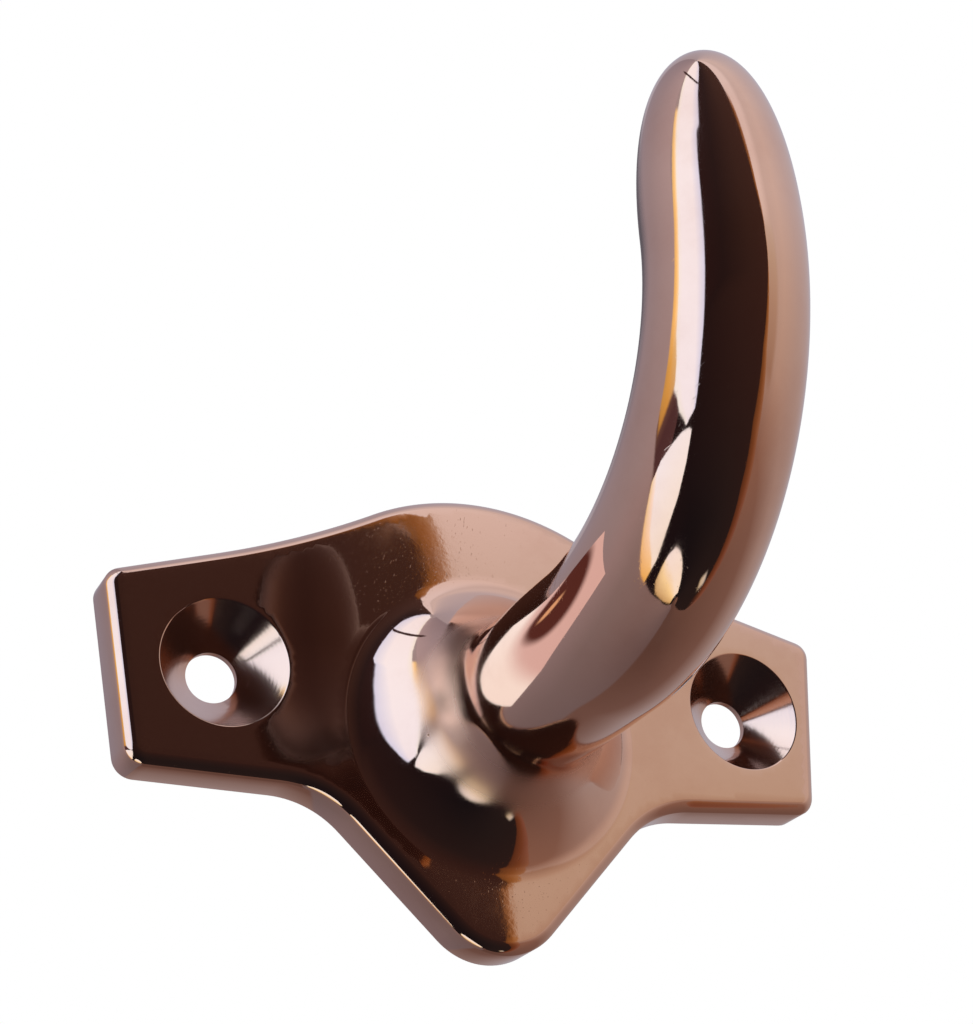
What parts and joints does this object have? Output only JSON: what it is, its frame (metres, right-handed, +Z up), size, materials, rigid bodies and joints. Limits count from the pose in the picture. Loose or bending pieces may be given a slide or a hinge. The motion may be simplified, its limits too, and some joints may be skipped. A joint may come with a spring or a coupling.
{
  "type": "coat hook",
  "caption": "One-piece cast coat hook: winged wall plate with countersunk screw holes and a round horn that flares from the plate, bends a quarter turn and ends in a blunt upright tip.",
  "frame": {"origin": "on the plate's flat back face, midway between the two wings, level with the screw holes", "axes": "+Y into the wall, normal to the plate's back; +Z up; +X to the right as seen from the room"},
  "size_m": [0.0606, 0.0489, 0.0521],
  "materials": {
    "bronze": "mirror-polished bronze"
  },
  "bodies": {
    "root": {"hook_casting": "bronze"}
  },
  "joints": []
}
